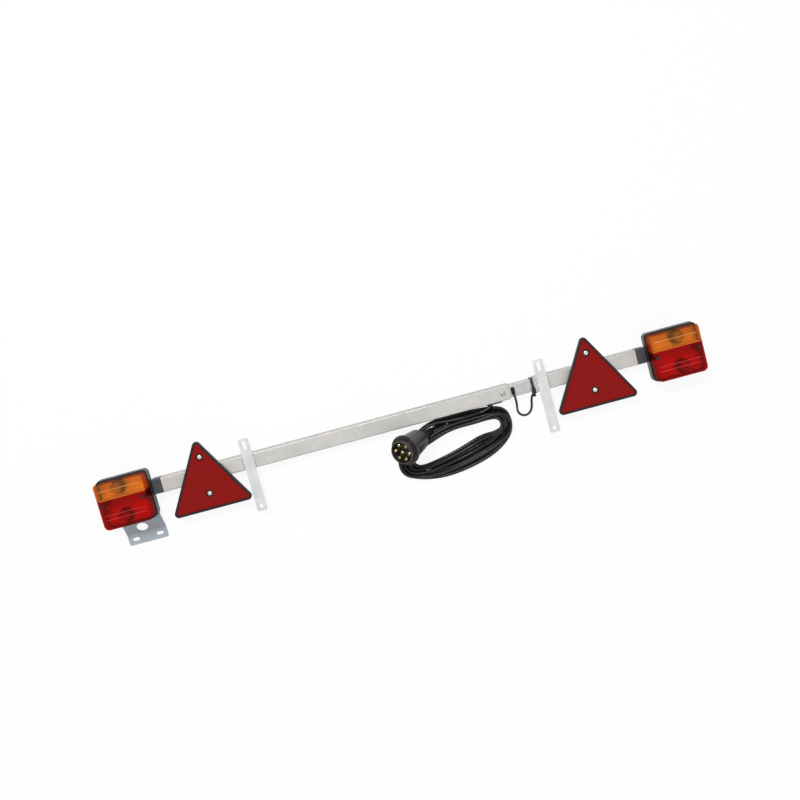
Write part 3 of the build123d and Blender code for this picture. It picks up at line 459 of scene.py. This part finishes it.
# %% Loop cable
# The route starts inside the inner tube; its x counts from the mouth of the left tube.
left_mouth = 223.5
loop_route = [
    (7.5, 8, 21.5), (7.6, -1.5, 27), (8, -12, 32.3), (8.4, -23, 31.8), (8.2, -32, 24.5),
    (7.7, -39, 14.8), (8.5, -47.5, 6), (15.7, -56.5, 2.6), (27.7, -57, 2.6), (36.1, -48.5, 3.6),
    (38.5, -37.5, 8), (39.7, -27, 13.6), (44, -17.8, 18.6), (54.3, -14.6, 20), (64.5, -10.4, 20.2),
    (72, -4, 20),
]
loop_points = [((left_mouth + x) * MM, y * MM, z * MM) for x, y, z in loop_route]
loop_diameter = 4.5 * MM
loop_cable = cable_curve("loop_cable", loop_points, loop_diameter, cable_black)
loop_length = line_length(loop_cable)
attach(loop_cable, "extension")
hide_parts("link_cable")
print("loop cable:", round(loop_length, 3), "m")

# %% [markdown]
# ## The hank of the main cable
# The main cable leaves its grommet, runs round the hank turn after turn and ends in the plug. Each turn
# is laid by hand on the real thing, so no two are alike. Here every turn passes the same stations round
# the hank, each at its own place between the inner and the outer edge. All numbers are in millimetres.

# %% Stations of the hank
cable_mm = 7.0
# One station a bracket: x and y at the hank's inner edge, then at its outer edge.
stations = np.array([
    (30, -67, 15, -38), (57, -53, 57, -19.5), (100, -42.5, 100, -19.5), (145, -42.5, 145, -19.5),
    (166, -43.5, 184, -22.5), (181, -46.5, 209, -32), (180, -55, 214.5, -58), (168, -62, 207, -86),
    (150, -69, 170, -114), (112, -82, 122, -127), (71, -92.5, 74, -133), (38, -99, 25, -128.5),
    (16, -100, -11, -113), (7, -87, -21.5, -88), (13, -72, -11, -56),
])
# One turn a number: its place at each side of the hank, 0 at the inner edge and 1 at the outer edge.
upper = [0.14, 0.0, 0.71, 0.45, 0.33, 0.36, 0.0, 0.95, 0.07, 0.66]
right = [0.67, 0.6, 0.97, 0.81, 0.78, 0.77, 0.47, 0.98, 1.0, 0.31]
lower = [0.35, 0.53, 0.86, 0.66, 0.09, 0.21, 0.44, 0.97, 0.72, 1.0]
left = [0.34, 0.84, 0.09, 0.6, 0.06, 0.38, 0.74, 1.0, 1.0, 0.92]
turns = len(upper) - 1
# One station a bracket: how much it goes by the gland, the upper, right, lower and left places.
goes_by = np.array([
    (0.6, 0, 0, 0, 0.4), (1, 0, 0, 0, 0), (0, 1, 0, 0, 0), (0, 1, 0, 0, 0), (0, 0.7, 0.3, 0, 0),
    (0, 0.35, 0.65, 0, 0), (0, 0, 1, 0, 0), (0, 0, 0.5, 0.5, 0), (0, 0, 0, 1, 0), (0, 0, 0, 1, 0),
    (0, 0, 0, 1, 0), (0, 0, 0, 0.8, 0.2), (0, 0, 0, 0, 1), (0, 0, 0, 0, 1), (0.25, 0, 0, 0, 0.75),
])
print("stations a turn:", len(stations), "turns:", turns)

# %% [markdown]
# The plug's gland stands in the upper side of the hank, so strands pass it on one side or the other. A
# turn ends where the next one starts, so its last station looks ahead and its first one looks back. A
# seeded random number then moves each strand a little, because a cable never lies quite even.


# %% Where the turns pass
def round_the_gland(share):
    """Strands pass the plug's gland either beside the tube or towards the middle of the hank."""
    gland_inner, gland_outer = 0.36, 0.84
    if share > 0.5:
        return gland_outer + 2 * (1 - gland_outer) * (share - 0.5)
    return 2 * gland_inner * share


def share_across(turn, station):
    """Where a turn passes a station: 0 at the hank's inner edge, 1 at its outer edge."""
    gland_turn = turn + 1 if station == len(stations) - 1 else turn
    left_turn = max(turn - 1, 0) if station == 0 else turn
    gland = round_the_gland(upper[gland_turn])
    return goes_by[station] @ (gland, upper[turn], right[turn], lower[turn], left[left_turn])


wander = 0.02
after_plug, at_grommet = 2, 3
uneven = np.random.default_rng(214)
ground = []
for turn_number in range(turns + 1):
    for station_number in range(len(stations)):
        if turn_number == 0 and station_number < after_plug:
            continue
        if turn_number == turns and station_number > at_grommet:
            break
        share = share_across(turn_number, station_number) + uneven.uniform(-wander, wander)
        inner_edge = stations[station_number, :2]
        outer_edge = stations[station_number, 2:]
        ground.append(inner_edge + (outer_edge - inner_edge) * share)
ground = np.array(ground)
print("stations passed:", len(ground))

# %% [markdown]
# The height comes from laying the cable down from its plug end, with the tail at the plug and the lead at
# the grommet in the same chain: a point rests on the floor or on whatever strand is already there. A
# simulation would do that too, but this is quick and gives the same hank every time. The chain gets four
# points a station, because a strand crosses others between its stations.

# %% Sizes of the lay
plug_end = [
    (50.5, -37.0, 21.5), (56.2, -35.7, 13.4), (61.5, -34.4, 7.4), (70.0, -32.5, 4.0), (84.0, -32.5, 3.6),
]
grommet_end = [(168.5, -26.4, 17.6), (176.3, -22.5, 17.5), (185, -17.5, 17.5)]
floor_mm = 3.55
spacing_mm = 7.08
crown_mm = 20.0
own_length_mm = 90.0
points_a_station = 4
crown_points = 4
ease_rounds = 4
lay_rounds = 3
print("spacing of the strands:", spacing_mm, "mm for a cable of", cable_mm, "mm")


# %% Lay the turns down
def between(points, steps):
    """Points of the quadratic curve that a chain of control points makes."""
    t = (np.arange(steps) / steps)[None, :, None]
    before, here, after = points[:-2, None], points[1:-1, None], points[2:, None]
    curve = 0.5 * (1 - t) ** 2 * before + (0.5 + t * (1 - t)) * here + 0.5 * t**2 * after
    return curve.reshape(-1, points.shape[1])


def lay_down(points, run, height, first):
    """Raises each point onto the strands that were laid before it."""
    laid = height.copy()
    for index in range(first, len(points)):
        apart = np.linalg.norm(points - points[index], axis=1)
        below = (apart < spacing_mm) & (run < run[index] - own_length_mm)
        if below.any():
            rests = laid[below] + np.sqrt(spacing_mm**2 - apart[below] ** 2)
            laid[index] = max(laid[index], rests.max())
    return laid


def ease(run, height, first):
    """Makes long low humps of the crossings, without sinking into what carries them."""
    crowns = height.copy()
    for step in range(1, crown_points + 1):
        drop = (run[step:] - run[:-step]) ** 2 / (2 * crown_mm)
        crowns[step:] = np.maximum(crowns[step:], height[:-step] - drop)
        crowns[:-step] = np.maximum(crowns[:-step], height[step:] - drop)
    eased = crowns.copy()
    for _ in range(ease_rounds):
        soft = eased.copy()
        soft[1:-1] = 0.25 * eased[:-2] + 0.5 * eased[1:-1] + 0.25 * eased[2:]
        eased = np.maximum(soft, crowns)
    eased[:first] = height[:first]
    return eased


on_floor = np.c_[ground, np.full(len(ground), floor_mm)]
strand = between(np.r_[plug_end, on_floor, grommet_end], points_a_station)
plan, strand_z = strand[:, :2], strand[:, 2]
run = np.r_[0, np.cumsum(np.linalg.norm(np.diff(plan, axis=0), axis=1))]
plug_points = points_a_station * (len(plug_end) - 1)
for _ in range(lay_rounds):
    strand_z = ease(run, lay_down(plan, run, strand_z, plug_points), plug_points)
strand_z = lay_down(plan, run, strand_z, plug_points)
print("highest strand:", round(float(strand_z.max()), 1), "mm")

# %% Main cable
laid = [tuple(point) for point in np.c_[plan, strand_z]]
main_points = [tuple(c * MM for c in p) for p in reversed([plug_end[0], *laid, grommet_end[-1]])]
main_cable = cable_curve("main_cable", main_points, cable_mm * MM, cable_black)
main_length = line_length(main_cable)
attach(main_cable, "bar")
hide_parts("cable_lead", "cable_hank", "cable_tail")
print("main cable:", round(main_length, 2), "m in", turns, "turns")

# %% [markdown]
# ## Weld beads
# Each strap is welded to its tube along both edges. A weld is a row of overlapping scales, so Geometry
# Nodes puts one flattened ball on every point of a line and makes each a little larger or smaller. The
# result becomes a plain mesh before it rides on a body.


# %% Scales of a weld
def bead_tree():
    """Node group: a scale of weld metal on each point, uneven in size, in one material."""
    group = bpy.data.node_groups.new("weld_scales", "GeometryNodeTree")
    sockets = {}
    for name, kind in (
        ("Points", "NodeSocketGeometry"),
        ("Width", "NodeSocketFloat"),
        ("Flatness", "NodeSocketFloat"),
        ("Seed", "NodeSocketInt"),
        ("Material", "NodeSocketMaterial"),
    ):
        sockets[name] = group.interface.new_socket(name, in_out="INPUT", socket_type=kind).identifier
    group.interface.new_socket("Beads", in_out="OUTPUT", socket_type="NodeSocketGeometry")
    given = add(group, "NodeGroupInput")
    ball = add(group, "GeometryNodeMeshIcoSphere", {"Radius": given.outputs["Width"]}, {"Subdivisions": 2})
    shape = add(group, "ShaderNodeCombineXYZ", {"Z": given.outputs["Flatness"]}, {"X": 1.0, "Y": 0.8})
    flat = add(group, "GeometryNodeTransform", {"Geometry": ball.outputs["Mesh"], "Scale": shape.outputs[0]})
    smallest, largest = 2, 3  # sockets of a random number's limits
    uneven_size = add(
        group,
        "FunctionNodeRandomValue",
        {"Seed": given.outputs["Seed"]},
        {smallest: 0.85, largest: 1.15},
        data_type="FLOAT",
    )
    scales = add(
        group,
        "GeometryNodeInstanceOnPoints",
        {
            "Points": given.outputs["Points"],
            "Instance": flat.outputs["Geometry"],
            "Scale": uneven_size.outputs[1],
        },
    )
    real = add(group, "GeometryNodeRealizeInstances", {"Geometry": scales.outputs["Instances"]})
    painted = add(
        group,
        "GeometryNodeSetMaterial",
        {"Geometry": real.outputs["Geometry"], "Material": given.outputs["Material"]},
    )
    add(group, "NodeGroupOutput", {"Beads": painted.outputs["Geometry"]})
    return group, sockets


weld_group, weld_sockets = bead_tree()
# Zinc over a weld keeps the scales visible as small grey ripples.
weld_steel = zinc_finish("zinc_over_weld", "#b8b9b9", "#cfd0d0", crystal_mm=2.5, rough=(0.35, 0.5))
print("nodes in the weld's tree:", len(weld_group.nodes))


# %% Weld beads
def weld(name, strap_x, body, seed):
    """Beads along both edges of a strap, where it crosses its tube."""
    edge, reach, pitch, top = 10.3, 11.5, 1.1, 30.2
    rows = np.arange(-reach, reach + pitch / 2, pitch)
    places = [((strap_x + side * edge) * MM, y * MM, top * MM) for side in (-1, 1) for y in rows]
    line = bpy.data.meshes.new(name + "_points")
    line.from_pydata(places, [], [])
    maker = bpy.data.objects.new(name + "_maker", line)
    scene.collection.objects.link(maker)
    nodes = maker.modifiers.new("scales", "NODES")
    nodes.node_group = weld_group
    for key, value in (("Width", 1.9 * MM), ("Flatness", 0.65), ("Seed", seed), ("Material", weld_steel)):
        nodes[weld_sockets[key]] = value
    graph = bpy.context.evaluated_depsgraph_get()
    mesh = bpy.data.meshes.new_from_object(maker.evaluated_get(graph), depsgraph=graph)
    bpy.data.objects.remove(maker)
    mesh.shade_smooth()
    bead = bpy.data.objects.new(name, mesh)
    scene.collection.objects.link(bead)
    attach(bead, body)
    print(name, len(mesh.polygons), "faces")


weld("left_strap_weld", strap_x=-302.0, body="bar", seed=3)
weld("right_strap_weld", strap_x=291.0, body="extension", seed=5)

# %% [markdown]
# ## Floor and light
# The photograph has a white ground. More light would bleach the board, so the floor shows as white to the
# camera and to reflections by itself, and keeps a share of its own shading for the board's soft shadow.

# %% Floor
floor_reach = 6.0
white_share = 0.9
corners = [(x * floor_reach, y * floor_reach, 0) for x, y in ((-1, -1), (1, -1), (1, 1), (-1, 1))]
floor_mesh = bpy.data.meshes.new("floor")
floor_mesh.from_pydata(corners, [], [(0, 1, 2, 3)])
floor = bpy.data.objects.new("floor", floor_mesh)
scene.collection.objects.link(floor)
floor_white, floor_tree, floor_shader = start_material(
    "white_floor", Base_Color=linear("#f4f4f4"), Roughness=0.9
)
glow = add(floor_tree, "ShaderNodeEmission", values={"Color": (1, 1, 1, 1), "Strength": 1.0})
ray = add(floor_tree, "ShaderNodeLightPath").outputs
seen = ray["Is Camera Ray"]
for kind in ("Is Glossy Ray", "Is Transmission Ray"):
    seen = add(floor_tree, "ShaderNodeMath", {0: seen, 1: ray[kind]}, operation="MAXIMUM").outputs[0]
shown_white = add(floor_tree, "ShaderNodeMath", {0: seen}, {1: white_share}, operation="MULTIPLY")
floor_mix = add(
    floor_tree,
    "ShaderNodeMixShader",
    {0: shown_white.outputs[0], 1: floor_shader.outputs[0], 2: glow.outputs[0]},
)
floor_tree.links.new(floor_mix.outputs[0], floor_tree.nodes["Material Output"].inputs["Surface"])
floor_mesh.materials.append(floor_white)
print("floor:", 2 * floor_reach, "m wide")

# %% [markdown]
# The world is a bright room: stronger overhead than at the walls, which gives the tubes a soft gradient.
# Where the camera sees past the floor, it sees plain white.

# %% World
walls, overhead = 0.4, 0.66
world = bpy.data.worlds.new("studio")
world.use_nodes = True
sky = world.node_tree
direction = add(sky, "ShaderNodeTexCoord")
upward = add(sky, "ShaderNodeSeparateXYZ", {"Vector": direction.outputs["Generated"]})
level = add(
    sky,
    "ShaderNodeMapRange",
    {"Value": upward.outputs["Z"]},
    {"From Min": 0.1, "From Max": 0.8, "To Min": walls, "To Max": overhead},
)
sight = add(sky, "ShaderNodeLightPath")
shown = add(
    sky,
    "ShaderNodeMath",
    {0: level.outputs["Result"], 1: sight.outputs["Is Camera Ray"]},
    operation="MAXIMUM",
)
sky.links.new(shown.outputs[0], sky.nodes["Background"].inputs["Strength"])
sky.nodes["Background"].inputs["Color"].default_value = (1, 1, 1, 1)
scene.world = world
print("world strength:", walls, "to", overhead)


# %% Lamps
def soft_box(name, place, size, watts):
    """Square area lamp that points at the middle of the board."""
    data = bpy.data.lights.new(name, "AREA")
    data.shape = "SQUARE"
    data.size = size
    data.energy = watts
    lamp = bpy.data.objects.new(name, data)
    lamp.location = place
    lamp.rotation_euler = (-Vector(place)).to_track_quat("-Z", "Y").to_euler()
    scene.collection.objects.link(lamp)
    print(name, watts, "W")


soft_box("key", (-0.5, 1.6, 3.2), size=0.6, watts=62)
soft_box("fill", (1.5, -1.3, 1.9), size=1.2, watts=8)
